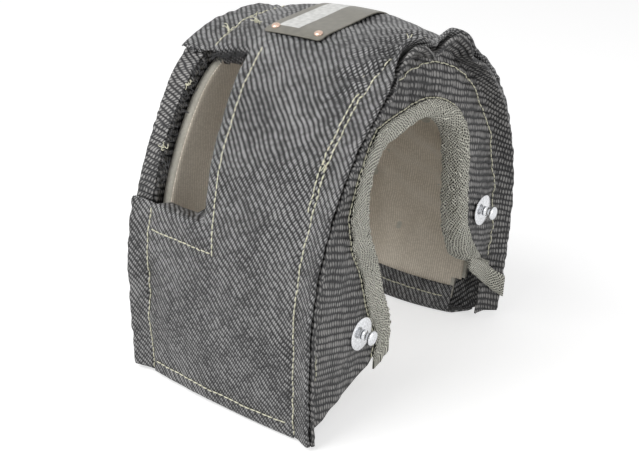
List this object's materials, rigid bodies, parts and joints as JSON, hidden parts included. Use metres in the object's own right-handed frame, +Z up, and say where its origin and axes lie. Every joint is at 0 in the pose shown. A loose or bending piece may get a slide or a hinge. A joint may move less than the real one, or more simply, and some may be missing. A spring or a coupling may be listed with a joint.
{
  "type": "turbo heat blanket",
  "caption": "Sewn saddle-shaped insulation cover for a turbine housing: outer band with standing welt seams, arched side panels, mesh-bound openings, riveted plate and lacing studs.",
  "frame": {"origin": "middle of the blanket's footprint, on the plane that its lower edges stand on", "axes": "+Z up, +X along the turbine housing's axis towards the wide opening, +Y from the front leg to the rear leg"},
  "size_m": [0.1344, 0.1978, 0.1933],
  "materials": {
    "outer_cloth": "charcoal twill woven from basalt fibre, bright yarn highlights",
    "insulation": "off-white needled wool",
    "lining_cloth": "beige plain-woven silica cloth, matt",
    "wire_mesh": "knitted stainless wire, dull",
    "plate": "thin sheet, brownish grey, satin",
    "rivet": "pale copper-coloured, satin",
    "stud_metal": "polished stainless steel"
  },
  "bodies": {
    "root": {"band_outer": "outer_cloth", "band_insulation": "insulation", "band_lining": "lining_cloth", "side_panel_right": "outer_cloth", "side_insulation_right": "insulation", "side_lining_right": "lining_cloth", "mesh_trim_right": "wire_mesh", "side_panel_left": "outer_cloth", "side_insulation_left": "insulation", "side_lining_left": "lining_cloth", "mesh_trim_left": "wire_mesh", "name_plate": "plate", "plate_rivet_1": "rivet", "plate_rivet_2": "rivet", "plate_rivet_3": "rivet", "plate_rivet_4": "rivet", "stud_washer_right_front": "stud_metal", "stud_capstan_right_front": "stud_metal", "stud_backing_right_front": "stud_metal", "stud_washer_right_rear": "stud_metal", "stud_capstan_right_rear": "stud_metal", "stud_backing_right_rear": "stud_metal", "stud_washer_left_front": "stud_metal", "stud_capstan_left_front": "stud_metal", "stud_backing_left_front": "stud_metal", "stud_washer_left_rear": "stud_metal", "stud_capstan_left_rear": "stud_metal", "stud_backing_left_rear": "stud_metal"}
  },
  "joints": []
}
